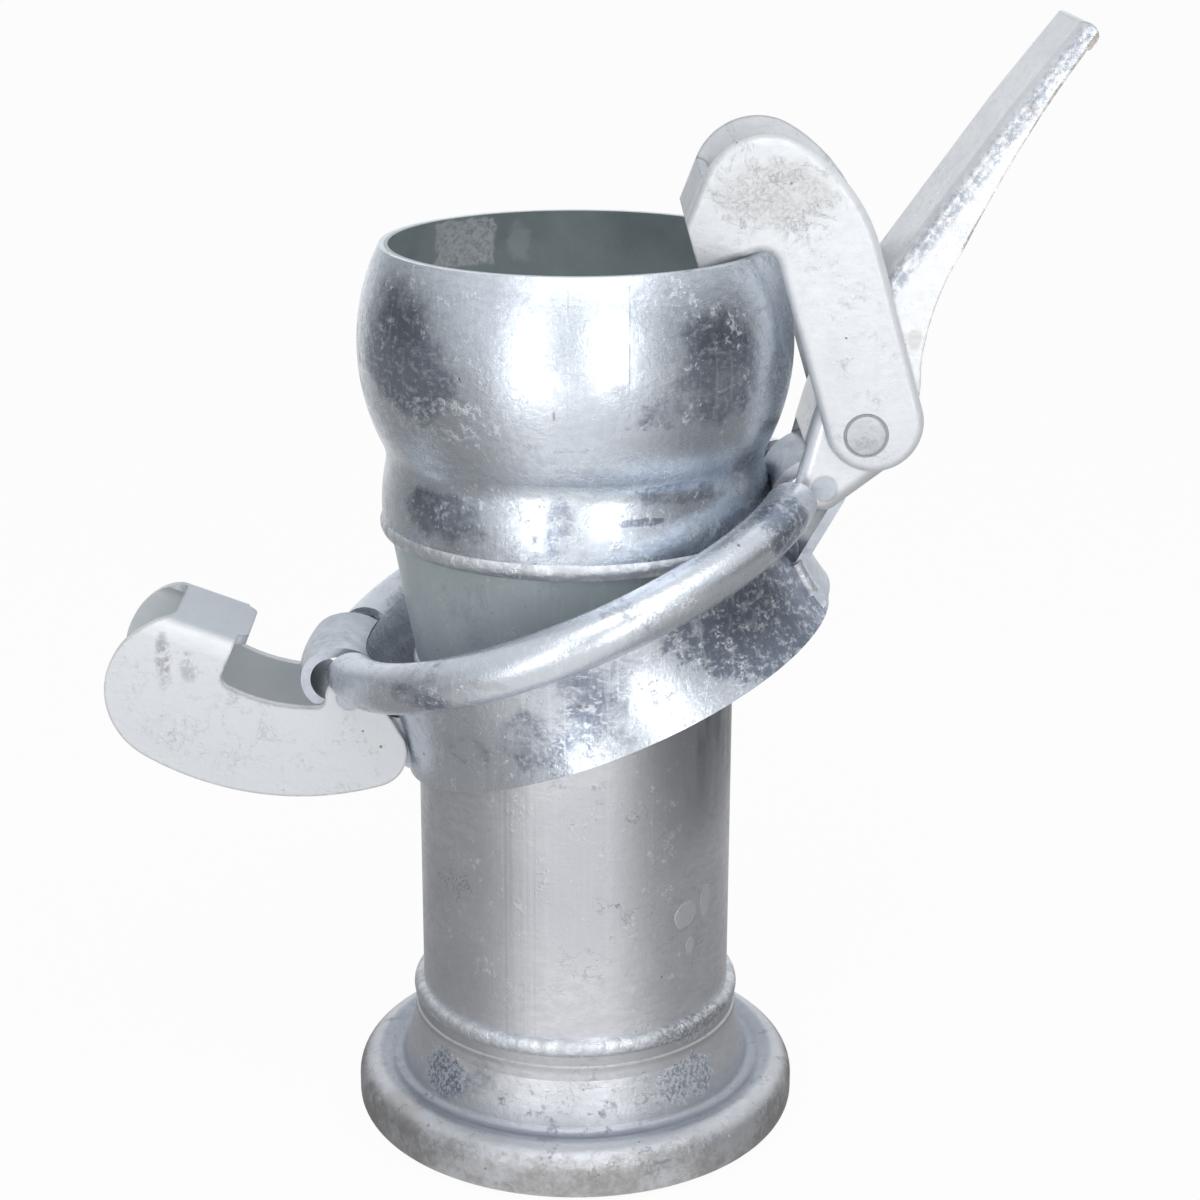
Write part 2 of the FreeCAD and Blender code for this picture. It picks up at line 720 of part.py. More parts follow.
bar_in = bar_mid - hook_width / 2.0
bar_out = bar_mid + hook_width / 2.0
rim_x = math.sqrt(inner_mouth[0] ** 2 - (pull_half + abs(ring_y)) ** 2)
rim_v = (rim_x - rivet_at[0]) * lean_cos + (mouth_z - rivet_at[1]) * lean_sin
hook_roof_v = rim_v + hook_roof_clear
hook_head_v = hook_roof_v + hook_head_rise
back_v = hook_head_v - back_drop
back_c = (bar_out - back_r, back_v)
crown_rise = math.degrees(math.asin((hook_head_v - back_v) / (back_r - hook_crown_r)))
crown_c = on_circle(back_c, back_r - hook_crown_r, crown_rise)
nose_u = crown_c[0] - hook_nose_reach
nose_kink = (nose_u, crown_c[1] + hook_nose_lift)
nose_deg = point_tangent_deg(crown_c, hook_crown_r, nose_kink, -1.0)
nose_high = on_circle(crown_c, hook_crown_r, nose_deg)
fillet_u = bar_in - hook_mouth_fillet
fillet_v = hook_roof_v - hook_mouth_fillet
roof_pt = on_circle((fillet_u, fillet_v), hook_mouth_fillet, 90.0 + hook_undercut)
tip_v = roof_pt[1] - (roof_pt[0] - nose_u) * math.tan(math.radians(hook_undercut))


def bar_join(a, b):
    return join(bar(*a), bar(*b))


def bar_arc(centre, radius, start, end):
    return arc_about(bar(*centre), radius, bar_deg(start), bar_deg(end))


pull_outline = [
    bar_arc((bar_mid, bar_end), hook_width / 2.0, 180.0, 360.0),
    bar_join((bar_out, bar_end), (bar_out, back_v)),
    bar_arc(back_c, back_r, 0.0, crown_rise),
    bar_arc(crown_c, hook_crown_r, crown_rise, nose_deg),
    bar_join(nose_high, nose_kink),
    bar_join(nose_kink, (nose_u, tip_v)),
    bar_join((nose_u, tip_v), roof_pt),
    bar_arc((fillet_u, fillet_v), hook_mouth_fillet, 90.0 + hook_undercut, 0.0),
    bar_join((bar_in, fillet_v), (bar_in, bar_end)),
]
web_low = bar(*nose_kink)
web_high = bar(*nose_high)
near_cheek, far_cheek = paired(pull_outline, pull_half_in, pull_half)
pull_web = web_plate(pull_outline, web_low, web_high, pull_half)
lever_hook = solid_of(near_cheek.fuse([far_cheek, pull_web]))
lever_hook = rounded_along(lever_hook, web_low, web_high, nose_round, pull_half)
lever_hook = lever_hook.cut(rod(rivet_at[0], rivet_at[1], rivet_r + pin_fit, -pull_half - 1, pull_half + 1))
lever_hook = solid_of(lever_hook)
lever_hook.translate(FreeCAD.Vector(0, ring_y, 0))
hook_rivet = rod(rivet_at[0], rivet_at[1], rivet_r, -pull_half, pull_half)
hook_rivet.translate(FreeCAD.Vector(0, ring_y, 0))


# Lever: folded channel, web towards the ball, open side away from it, cheeks at the pin.
def lev(offset):
    return from_pivot(pull_pivot, offset[0], offset[1])


foot_c = lev(foot_at)
web_foot = lev(web_foot_at)
web_bend = lev(web_bend_at)
web_kink = lev(web_kink_at)
web_tip = lev(web_tip_at)
edge_foot = lev(edge_foot_at)
edge_bulge = lev(edge_bulge_at)
edge_base = lev(edge_base_at)
edge_turn = lev(edge_turn_at)
edge_waist = lev(edge_waist_at)
edge_long = lev(edge_long_at)
edge_tip = lev(edge_tip_at)
tip_nose = lev(tip_nose_at)
long_deg = heading(web_bend, web_kink)
low_deg = heading(web_foot, web_bend)
low_turn = low_deg - long_deg
low_span = math.hypot(web_bend[0] - web_foot[0], web_bend[1] - web_foot[1])
low_r = low_span / (2.0 * math.sin(math.radians(low_turn)))
low_c = on_circle(web_bend, low_r, long_deg - 90.0)
low_from = low_deg + low_turn + 90.0
foot_left = point_tangent_deg(foot_c, foot_r, web_foot, 1.0)
foot_right = point_tangent_deg(foot_c, foot_r, edge_foot, -1.0)

lever_outline = [
    join(web_foot, on_circle(foot_c, foot_r, foot_left)),
    arc_about(foot_c, foot_r, foot_left, 360.0 + foot_right),
    join(on_circle(foot_c, foot_r, foot_right), edge_foot),
    arc_through(point(*edge_foot), point(*edge_bulge), point(*edge_base)),
    arc_through(point(*edge_base), point(*edge_turn), point(*edge_waist)),
    arc_through(point(*edge_waist), point(*edge_long), point(*edge_tip)),
    arc_through(point(*edge_tip), point(*tip_nose), point(*web_tip)),
    join(web_tip, web_kink),
    join(web_kink, web_bend),
    arc_about(low_c, low_r, long_deg + 90.0, low_from),
]


def web_edges(shape, half):
    # Long edges where the web meets the two flanks.
    chosen = []
    for edge in shape.Edges:
        if edge.Length < 20.0:
            continue
        mid = edge.valueAt((edge.FirstParameter + edge.LastParameter) / 2.0)
        if abs(abs(mid.y) - half) > 1e-4:
            continue
        for a, b in ((web_foot, web_bend), (web_bend, web_kink), (web_kink, web_tip)):
            span = math.hypot(b[0] - a[0], b[1] - a[1])
            off = ((mid.x - a[0]) * (b[1] - a[1]) - (mid.z - a[1]) * (b[0] - a[0])) / span
            if -9.0 < off < 0.5 and min(a[1], b[1]) < mid.z < max(a[1], b[1]):
                chosen.append(edge)
    return chosen


def shifted(p, deg, dist):
    return on_circle(p, dist, deg)


long_in = long_deg - 90.0
tip_in = heading(web_kink, web_tip) - 90.0
foot_in = on_circle(low_c, low_r - lever_sheet, low_from)
bend_in = on_circle(low_c, low_r - lever_sheet, long_deg + 90.0)
kink_in = shifted(web_kink, (long_in + tip_in) / 2.0, lever_sheet)
tip_near = shifted(shifted(web_tip, tip_in, lever_sheet), tip_in - 90.0, lever_sheet)
tip_far = shifted(tip_near, tip_in, 30.0)
low_right = lev((open_side, open_foot))
low_left = (foot_in[0] - open_side, low_right[1])
high_left = (low_left[0], foot_in[1])
hollow = prism([
    arc_about(low_c, low_r - lever_sheet, low_from, long_deg + 90.0),
    join(bend_in, kink_in),
    join(kink_in, tip_near),
    join(tip_near, tip_far),
    join(tip_far, low_right),
    join(low_right, low_left),
    join(low_left, high_left),
    join(high_left, foot_in),
], -hook_half_in, hook_half_in)
lever_block = prism(lever_outline, -lever_half, lever_half)
lever_block = lever_block.makeFillet(lever_round, web_edges(lever_block, lever_half))
lever_arm = lever_block.cut(hollow)
lever_arm = lever_arm.cut(rod(pull_pivot[0], pull_pivot[1], pin_r + pin_fit, -lever_half - 1, lever_half + 1))
lever_arm = lever_arm.cut(rod(rivet_at[0], rivet_at[1], rivet_r, -lever_half - 1, lever_half + 1))
lever_arm = solid_of(lever_arm)
lever_arm.translate(FreeCAD.Vector(0, ring_y, 0))

nodes = {
    "ball_end": ball_end,
    "weld_ball": weld_ball,
    "reducing_cone": reducing_cone,
    "weld_pipe": weld_pipe,
    "straight_pipe": straight_pipe,
    "weld_socket": weld_socket,
    "female_socket": female_socket,
    "seal_ring": seal_ring,
    "closure_ring": closure_ring,
    "ear_strap_left": ear_strap_left,
    "ear_strap_right": ear_strap_right,
    "ear_weld_left": ear_weld_left,
    "ear_weld_right": ear_weld_right,
    "side_weld_near": side_weld_near,
    "side_weld_far": side_weld_far,
    "hinge_pin_left": hinge_pin_left,
    "hinge_pin_right": hinge_pin_right,
    "fixed_hook": fixed_hook,
    "lever_arm": lever_arm,
    "hook_rivet": hook_rivet,
    "lever_hook": lever_hook,
}

os.makedirs("parts", exist_ok=True)
for name, shape in nodes.items():
    shape.exportStep("parts/" + name + ".step")
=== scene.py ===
import math

import bmesh
import bpy
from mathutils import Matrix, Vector


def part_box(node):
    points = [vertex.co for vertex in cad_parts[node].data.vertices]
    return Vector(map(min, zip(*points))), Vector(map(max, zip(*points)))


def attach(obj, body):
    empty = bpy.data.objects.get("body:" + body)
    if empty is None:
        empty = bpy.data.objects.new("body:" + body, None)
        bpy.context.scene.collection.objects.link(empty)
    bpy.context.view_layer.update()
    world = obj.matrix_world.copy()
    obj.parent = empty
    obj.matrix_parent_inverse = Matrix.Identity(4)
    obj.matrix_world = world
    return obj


# Looks of a galvanised pipe reducer: zinc finishes, weld crusts, rivet heads, a pale floor,
# two tall soft boxes in front and a white surround. Metres, same frame as the CAD.

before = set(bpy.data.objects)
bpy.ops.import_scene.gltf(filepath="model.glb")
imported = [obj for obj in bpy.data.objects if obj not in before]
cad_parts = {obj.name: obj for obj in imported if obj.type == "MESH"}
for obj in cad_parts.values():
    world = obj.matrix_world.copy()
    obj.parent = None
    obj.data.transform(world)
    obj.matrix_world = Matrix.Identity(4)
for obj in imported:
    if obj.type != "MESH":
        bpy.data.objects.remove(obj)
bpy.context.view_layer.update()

# Camera, fitted to the photograph
CAMERA_AT = (0.0, -0.812, 0.452)
CAMERA_PITCH = math.radians(90.0 - 18.07)
CAMERA_LENS = 75.18
CAMERA_SENSOR = 36.0
CAMERA_SHIFT = 24.7 / 1200.0
CAMERA_CLIP = (0.01, 50.0)

# Directions
RIGHT = (1.0, 0.0, 0.0)
FAR = (0.0, 1.0, 0.0)
NEAR = (0.0, -1.0, 0.0)
UP = (0.0, 0.0, 1.0)
ORIGIN = (0.0, 0.0, 0.0)

# Colours, linear
ZINC_LIGHT = (0.80, 0.85, 0.92, 1.0)
ZINC_MID = (0.61, 0.66, 0.73, 1.0)
ZINC_DARK = (0.20, 0.24, 0.32, 1.0)
PLAIN_LIGHT = (0.80, 0.81, 0.84, 1.0)
PLAIN_MID = (0.63, 0.645, 0.68, 1.0)
# Grey of the painted shade on the pipe under the ring
SHADE_GREY = (0.21, 0.215, 0.235, 1.0)
RING_LIGHT = (0.87, 0.90, 0.95, 1.0)
RING_MID = (0.71, 0.75, 0.81, 1.0)
ZINC_GREEN = (0.47, 0.53, 0.54, 1.0)
ZINC_CHALK = (0.75, 0.77, 0.80, 1.0)
ZINC_WHITE = (0.83, 0.845, 0.87, 1.0)
ZINC_PIT = (0.26, 0.26, 0.29, 1.0)
ZINC_DROSS = (0.22, 0.17, 0.12, 1.0)
ZINC_BROWN = (0.42, 0.37, 0.31, 1.0)
ZINC_SCUFF = (0.40, 0.40, 0.45, 1.0)
ZINC_INNER = (0.62, 0.66, 0.68, 1.0)
SOCKET_PIT = (0.09, 0.11, 0.16, 1.0)
SOCKET_GRIT = (0.55, 0.59, 0.66, 1.0)
HOOK_PIT = (0.40, 0.40, 0.42, 1.0)
WEB_BLUE = (0.50, 0.56, 0.62, 1.0)
# Brown-grey of the painted shade along cut edges, partly wear
EDGE_SHADE_AND_WEAR = (0.28, 0.25, 0.22, 1.0)
RIM_WORN = (0.37, 0.36, 0.36, 1.0)
MOUTH_SLATE = (0.33, 0.39, 0.41, 1.0)
MOUTH_METAL = (0.25, 0.25, 0.25, 1.0)
RIVET_LIGHT = (0.66, 0.67, 0.69, 1.0)
RIVET_MID = (0.54, 0.56, 0.59, 1.0)
SMALL_LIGHT = (0.62, 0.66, 0.72, 1.0)
EAR_MID = (0.48, 0.52, 0.58, 1.0)
PIN_MID = (0.46, 0.50, 0.56, 1.0)
WELD_LIGHT = (0.80, 0.83, 0.87, 1.0)
RUBBER_BLACK = (0.018, 0.018, 0.019, 1.0)
RUBBER_DUST = (0.055, 0.053, 0.05, 1.0)
PAPER = (0.86, 0.86, 0.86, 1.0)

# Noises: scale, detail, roughness, distortion
FINE = (520.0, 5.0, 0.72)
PITS = (760.0, 3.0, 0.6)
CRUSTS = (95.0, 8.0, 0.72)
VEINS = (75.0, 7.0, 0.62, 0.8)
VEIN_AREAS = (22.0, 3.0)
CLOUDS = (9.0, 3.0, 0.5)
EDGE_BREAKS = (300.0, 4.0)
WELD_LUMPS = (240.0, 6.0, 0.62, 0.3)
WELD_GRAIN = (900.0, 4.0, 0.7)

# Noises with a scale for each axis: scales, detail, roughness, distortion
FLECKS = ((190.0, 190.0, 460.0), 5.0, 0.7, 0.0)
STREAKS = ((420.0, 420.0, 9.0), 4.0, 0.6, 0.0)
SCRATCHES = ((1400.0, 1400.0, 26.0), 2.0, 0.5, 0.0)
SMEARS = ((22.0, 22.0, 70.0), 5.0, 0.6, 0.4)
SEAM_LINES = ((1300.0, 1300.0, 6.0), 3.0, 0.6, 0.0)
SHADE_BREAKS = ((60.0, 60.0, 16.0), 5.0, 0.65, 0.0)

# Small cells: scale of the crystals, then scale and size of the spots
CRYSTALS = 430.0
LARGE_SPOTS = (60.0, 0.045)
SMALL_SPOTS = (140.0, 0.075)

# Depths of the reliefs
GRAIN_DEPTH = 0.0004
STREAK_DEPTH = 0.0003
WAVE_DEPTH = 0.0012
DROP_DEPTH = 0.0005
GROOVE_DEPTH = 0.0006

# Reach of the painted shade in crevices and along the cut edges
CREVICE_REACH = 0.006
EDGE_REACH = 0.0016

# Places on the object that the materials refer to; a pair is where something begins and ends
BALL_CENTRE = (0.0, 0.0, 0.277)
BALL_INSIDE_R = 0.0706
BALL_INSIDE_FROM = 0.2535
BALL_FRONT = (-0.09, -0.02)
BALL_LINES_X = (-0.0022, 0.0166)
BALL_LINES_Z = (0.268, 0.307)
SQUARE_X = (-0.0480, -0.0285)
SQUARE_Z = (0.2915, 0.3090)
SMEAR_AT = (-0.0198, 0.0631, 0.2990)
SMEAR_REACH = (0.005, 0.012, 0.010)
SEAM_X = (-0.0285, -0.0125)
SEAM_FRONT = (-0.08, -0.02)
SHADE_X = (0.008, 0.046)
SHADE_Z = (0.100, 0.152)
SHADE_NEAR = (-0.020, 0.012)
RIM_Z = (-1.0, 0.0165)
COLLAR_Z = (0.0375, 0.0500)
BEHIND_RIM_Z = (0.015, 0.0245)
BEHIND_RIM_IN = (0.0590, 0.0630)
BEHIND_RIM_OUT = (0.0690, 0.0715)
RIVET_AT = (0.09342, 0.0, 0.25249)
RIVET_GROOVE_IN = (0.0061, 0.0065)
RIVET_GROOVE_OUT = (0.0070, 0.0074)
WEB_Y = (-0.0235, 0.0155)
FAR_CHEEK = (0.004, 0.006)
NEAR_FLANK = (0.0225, 0.0245)
FLANK_ACROSS = (-0.807, 0.0, 0.590)
FLANK_BAND = (0.0935, 0.0988)
SHANK_ACROSS = (0.8806, 0.0, -0.4739)
SHANK_RIM = (-0.0409, -0.0390)
SHANK_FROM = (0.311, 0.313)
TIP_ACROSS = (0.8340, 0.0, -0.5520)
TIP_RIM = (-0.0758, -0.0740)
TIP_FROM = (0.3588, 0.3596)
SOCKET_CRUST_AT = (0.0429, -0.0372, 0.0440)
SOCKET_CRUST_REACH = (0.024, 0.024, 0.008)


class Nodes:
    """Small helper that adds nodes to one tree and links them."""

    def __init__(self, tree):
        self.tree = tree
        self.tree.nodes.clear()

    def add(self, kind, **settings):
        node = self.tree.nodes.new(kind)
        for key, value in settings.items():
            setattr(node, key, value)
        return node

    def link(self, a, b):
        self.tree.links.new(a, b)

    def feed(self, socket, value):
        if isinstance(value, bpy.types.NodeSocket):
            self.link(value, socket)
        else:
            socket.default_value = value

    def vector(self, operation, a, b=(0.0, 0.0, 0.0)):
        node = self.add("ShaderNodeVectorMath", operation=operation)
        self.feed(node.inputs[0], a)
        self.feed(node.inputs[1], b)
        return node

    def math(self, operation, a, b=0.0):
        node = self.add("ShaderNodeMath", operation=operation)
        self.feed(node.inputs[0], a)
        self.feed(node.inputs[1], b)
        return node.outputs[0]

    def times(self, first, *others):
        """Product of several values."""
        for other in others:
            first = self.math("MULTIPLY", first, other)
        return first

    def weigh(self, *pairs):
        """Sum of value times weight."""
        total = self.times(*pairs[0])
        for value, weight in pairs[1:]:
            total = self.math("ADD", total, self.times(value, weight))
        return total

    def remap(self, value, low, high, to_low=0.0, to_high=1.0, smooth=True):
        node = self.add("ShaderNodeMapRange", interpolation_type="SMOOTHSTEP" if smooth else "LINEAR")
        self.link(value, node.inputs["Value"])
        node.inputs["From Min"].default_value = low
        node.inputs["From Max"].default_value = high
        node.inputs["To Min"].default_value = to_low
        node.inputs["To Max"].default_value = to_high
        return node.outputs["Result"]

    def mix(self, factor, a, b):
        node = self.add("ShaderNodeMix", data_type="RGBA")
        self.feed(node.inputs["Factor"], factor)
        self.feed(node.inputs[6], a)
        self.feed(node.inputs[7], b)
        return node.outputs[2]

    def pick(self, factor, a, b):
        """Mix of two shaders."""
        node = self.add("ShaderNodeMixShader")
        self.link(factor, node.inputs["Fac"])
        self.link(a, node.inputs[1])
        self.link(b, node.inputs[2])
        return node.outputs["Shader"]


class Graph(Nodes):
    """The nodes of one material."""

    def __init__(self, name, seed=0.0):
        self.mat = bpy.data.materials.new(name)
        self.mat.use_nodes = True
        super().__init__(self.mat.node_tree)
        self.out = self.add("ShaderNodeOutputMaterial")
        self.shader = self.add("ShaderNodeBsdfPrincipled")
        self.link(self.shader.outputs["BSDF"], self.out.inputs["Surface"])
        self.place = self.add("ShaderNodeTexCoord").outputs["Object"]
        self.coords = self.vector("ADD", self.place, (seed, seed * 0.7, seed * 1.3)).outputs[0]

    def noise(self, scale, detail=4.0, rough=0.55, distort=0.0, vector=None):
        node = self.add("ShaderNodeTexNoise")
        self.link(vector or self.coords, node.inputs["Vector"])
        node.inputs["Scale"].default_value = scale
        node.inputs["Detail"].default_value = detail
        node.inputs["Roughness"].default_value = rough
        node.inputs["Distortion"].default_value = distort
        return node.outputs["Fac"]

    def drawn(self, kind, turn=0.0):
        """Noise with a scale for each axis, turned about y."""
        scales, detail, rough, distort = kind
        node = self.add("ShaderNodeMapping")
        self.link(self.coords, node.inputs["Vector"])
        node.inputs["Rotation"].default_value = (0.0, turn, 0.0)
        node.inputs["Scale"].default_value = scales
        return self.noise(1.0, detail, rough, distort, node.outputs["Vector"])

    def shifts(self, scale):
        """Three noise values around zero, for pushing a place about."""
        node = self.add("ShaderNodeTexNoise")
        self.link(self.coords, node.inputs["Vector"])
        node.inputs["Scale"].default_value = scale
        return self.vector("SUBTRACT", node.outputs["Color"], (0.5, 0.5, 0.5)).outputs[0]

    def grid(self, scale, channel):
        """Distance from the middle of each small cell, and a steady random value for the cell."""
        node = self.add("ShaderNodeTexVoronoi", feature="F1")
        self.link(self.coords, node.inputs["Vector"])
        node.inputs["Scale"].default_value = scale
        split = self.add("ShaderNodeSeparateColor")
        self.link(node.outputs["Color"], split.inputs["Color"])
        return node.outputs["Distance"], split.outputs[channel]

    def dots(self, scale, size, share):
        """Round dots in a share of the cells."""
        away, chance = self.grid(scale, "Red")
        return self.times(self.math("LESS_THAN", chance, share), self.remap(away, size * 0.5, size, 1.0, 0.0))

    def bump(self, height, strength, distance, under=None):
        node = self.add("ShaderNodeBump")
        self.link(height, node.inputs["Height"])
        node.inputs["Strength"].default_value = strength
        node.inputs["Distance"].default_value = distance
        if under is not None:
            self.link(under, node.inputs["Normal"])
        return node.outputs["Normal"]

    def away(self, centre, reach=(1.0, 1.0, 1.0)):
        """Distance from a point, with each axis divided by its reach."""
        offset = self.vector("SUBTRACT", self.place, centre).outputs[0]
        return self.vector("LENGTH", self.vector("DIVIDE", offset, reach).outputs[0]).outputs["Value"]

    def blot(self, centre, reach, ragged=0.9, grain=150.0):
        """Mask of a ragged patch around a point."""
        edge = self.weigh((self.away(centre, reach), 1.0), (self.noise(grain, 6.0, 0.7), ragged))
        middle = 1.0 + ragged * 0.5
        return self.remap(edge, middle - 0.45, middle, 1.0, 0.0)

    def crevice(self, reach):
        """Mask of narrow inside corners of the same piece, for the painted shade there."""
        node = self.add("ShaderNodeAmbientOcclusion", samples=6, only_local=True)
        node.inputs["Distance"].default_value = reach
        return self.remap(node.outputs["AO"], 0.35, 0.80, 1.0, 0.0)

    def run(self, way, place=None):
        """How far a place or a normal lies along a direction."""
        return self.vector("DOT_PRODUCT", place or self.place, way).outputs["Value"]

    def along(self, way, low, high, soft, place=None):
        """Mask of a slab between two planes."""
        value = self.run(way, place)
        rise = self.remap(value, low - soft, low + soft)
        return self.times(rise, self.remap(value, high - soft, high + soft, 1.0, 0.0))


def zinc(name, seed, light=ZINC_LIGHT, mid=ZINC_MID, dark=0.6, bare=0.56, patch=20.0, streak=0.3,
         chalk=0.3, rough=0.25, metal=0.8, grain=0.15, wave=0.12, specks=0.12, cracks=0.3, calm=(),
         marks=(), turn=0.0, pit=ZINC_PIT, grit=ZINC_WHITE, extras=()):
    """Galvanised steel: soft zinc tone, bare dark patches, crusts, hairlines, drawn streaks, specks and
    painted shade in crevices.
    """
    g = Graph(name, seed)
    broad = g.noise(patch, 3.0, 0.5)
    ragged = g.noise(patch * 6.0, 8.0, 0.74, 0.2)
    fine = g.noise(*FINE)
    pits = g.noise(*PITS)
    flecks = g.drawn(FLECKS, turn)
    streaks = g.drawn(STREAKS, turn)
    scratches = g.drawn(SCRATCHES, turn)
    smear = g.drawn(SMEARS, turn)
    vein = g.math("ABSOLUTE", g.math("SUBTRACT", g.noise(*VEINS), 0.5))

    field = g.weigh((broad, 0.54), (ragged, 0.28), (flecks, 0.18))
    crusty = g.weigh((g.noise(*CRUSTS), 0.6), (fine, 0.4))
    veined = g.remap(g.noise(*VEIN_AREAS), 0.52, 0.62, 0.0, cracks)
    stains = {"pale": (ZINC_CHALK, []), "brown": (ZINC_BROWN, []), "scuff": (ZINC_SCUFF, [])}
    for kind, centre, reach, amount in marks:
        push = g.times(g.blot(centre, reach), amount)
        if kind == "dark":
            field = g.math("ADD", field, push)
        elif kind == "crust":
            crusty = g.math("ADD", crusty, push)
        elif kind == "clean":
            field = g.math("SUBTRACT", field, push)
            crusty = g.math("SUBTRACT", crusty, push)
        elif kind == "crack":
            veined = g.math("MAXIMUM", veined, push)
        elif kind == "scuff":
            gritty = g.remap(g.weigh((ragged, 0.5), (fine, 0.5)), 0.42, 0.54)
            stains[kind][1].append(g.times(push, gritty))
        else:
            stains[kind][1].append(push)
    for low, high in calm:
        band = g.along(UP, low, high, 0.0015)
        field = g.math("SUBTRACT", field, g.times(band, 0.2))
        crusty = g.math("SUBTRACT", crusty, g.times(band, 0.1))

    # Tone of the sound zinc, then bare patches with light flecks in them.
    dark_mask = g.times(g.remap(field, bare - 0.05, bare + 0.07), dark)
    _, crystal = g.grid(CRYSTALS, "Green")
    tone = g.mix(g.remap(g.noise(*CLOUDS), 0.38, 0.62), mid, light)
    tone = g.mix(g.remap(flecks, 0.42, 0.62, 0.0, 0.55), tone, mid)
    tone = g.mix(g.remap(smear, 0.50, 0.66, 0.0, 0.35), tone, mid)
    tone = g.mix(g.remap(crystal, 0.45, 1.0, 0.0, 0.30), tone, mid)
    speckled = g.mix(g.remap(g.weigh((flecks, 0.6), (fine, 0.4)), 0.49, 0.60), ZINC_DARK, mid)
    tone = g.mix(dark_mask, tone, speckled)
    tone = g.mix(g.remap(streaks, 0.52, 0.68, 0.0, streak), tone, light)
    tone = g.mix(g.remap(scratches, 0.64, 0.72, 0.0, streak * 0.35), tone, mid)

    # Crust: pale grains with dark pits between them.
    crust_mask = g.times(g.remap(crusty, 0.555, 0.615), chalk)
    tone = g.mix(crust_mask, tone, g.mix(g.remap(pits, 0.44, 0.56), pit, grit))
    for stain, pushes in stains.values():
        for push in pushes:
            tone = g.mix(push, tone, stain)
    hairline = g.times(g.remap(vein, 0.002, 0.010, 1.0, 0.0), veined)
    tone = g.mix(hairline, tone, ZINC_PIT)
    spots = g.math("MAXIMUM", g.dots(*LARGE_SPOTS, specks), g.dots(*SMALL_SPOTS, specks * 0.35))
    tone = g.mix(g.times(spots, 0.8), tone, ZINC_DROSS)
    # Painted shade: darkening in the piece's narrow inside corners.
    crevice_shade = g.times(g.crevice(CREVICE_REACH), g.remap(flecks, 0.30, 0.60, 0.9, 0.4))
    tone = g.mix(crevice_shade, tone, ZINC_DARK)

    shine = g.weigh((ragged, 0.16), (fine, 0.10), (streaks, streak * 0.3), (crust_mask, 0.25),
                    (dark_mask, -0.04), (flecks, 0.22), (smear, 0.12), (crystal, 0.05))
    shine = g.math("ADD", shine, rough - 0.325 - streak * 0.15)
    height = g.weigh((fine, 0.5), (pits, 0.3), (flecks, 0.7), (crust_mask, 1.4), (dark_mask, -0.4),
                     (spots, -1.0), (hairline, -0.8))
    normal = g.bump(height, grain, GRAIN_DEPTH)
    normal = g.bump(g.weigh((streaks, 1.0), (scratches, 0.5)), streak * 0.3, STREAK_DEPTH, normal)
    normal = g.bump(ragged, wave, WAVE_DEPTH, normal)
    g.link(g.remap(crust_mask, 0.0, 1.0, metal, metal * 0.6, smooth=False), g.shader.inputs["Metallic"])
    for extra in extras:
        tone, shine, normal = extra(g, tone, shine, normal)
    g.link(tone, g.shader.inputs["Base Color"])
    g.link(shine, g.shader.inputs["Roughness"])
    g.link(normal, g.shader.inputs["Normal"])
    return g.mat


def ball_mouth(g, tone, shine, normal):
    """Smooth slate inside of the ball, with one rough square patch and a smear beside it."""
    inside = g.times(g.remap(g.away(BALL_CENTRE), BALL_INSIDE_R - 0.0001, BALL_INSIDE_R, 1.0, 0.0),
                     g.remap(g.run(UP), BALL_INSIDE_FROM - 0.002, BALL_INSIDE_FROM))
    slate = g.mix(g.remap(g.noise(30.0, 4.0), 0.3, 0.7), MOUTH_SLATE, ZINC_GREEN)
    push = g.vector("MULTIPLY", g.shifts(160.0), (0.005, 0.0, 0.004)).outputs[0]
    wobble = g.vector("ADD", g.place, push).outputs[0]
    square = g.times(g.along(RIGHT, *SQUARE_X, 0.0006, wobble), g.along(UP, *SQUARE_Z, 0.0006, wobble),
                     g.along(FAR, 0.0, 0.1, 0.001))
    square = g.times(g.remap(g.noise(520.0, 5.0, 0.75), 0.36, 0.58, 0.15, 1.0), square)
    smear = g.blot(SMEAR_AT, SMEAR_REACH, 1.6, 160.0)
    patch = g.math("MAXIMUM", square, g.times(smear, 0.35))
    slate = g.mix(g.times(patch, 0.95), slate, ZINC_WHITE)
    tone = g.mix(inside, tone, slate)
    shine = g.mix(inside, shine, g.weigh((patch, 0.25), (inside, 0.36)))
    metal = g.shader.inputs["Metallic"].links[0].from_socket
    g.link(g.mix(inside, metal, MOUTH_METAL), g.shader.inputs["Metallic"])
    return tone, shine, normal


def ball_lines(g, tone, shine, normal):
    """Two fine upright scratches on the front of the ball."""
    tall = g.times(g.along(FAR, *BALL_FRONT, 0.001), g.along(UP, *BALL_LINES_Z, 0.001))
    broken = g.times(tall, g.remap(g.noise(160.0, 3.0), 0.42, 0.56, 0.05, 0.28))
    for x in BALL_LINES_X:
        line = g.times(g.along(RIGHT, x - 0.0002, x + 0.0002, 0.0001), broken)
        tone = g.mix(line, tone, ZINC_DARK)
        normal = g.bump(line, 0.5, -STREAK_DEPTH, normal)
    return tone, shine, normal


def pipe_seam(g, tone, shine, normal):
    """Drawn bands beside the rolled pipe's welded seam."""
    lines = g.drawn(SEAM_LINES)
    band = g.times(g.along(RIGHT, *SEAM_X, 0.0012), g.along(FAR, *SEAM_FRONT, 0.001))
    tone = g.mix(g.times(band, g.remap(lines, 0.50, 0.62, 0.0, 0.25)), tone, ZINC_WHITE)
    tone = g.mix(g.times(band, g.remap(lines, 0.36, 0.46, 0.14, 0.0)), tone, ZINC_DARK)
    return tone, shine, normal


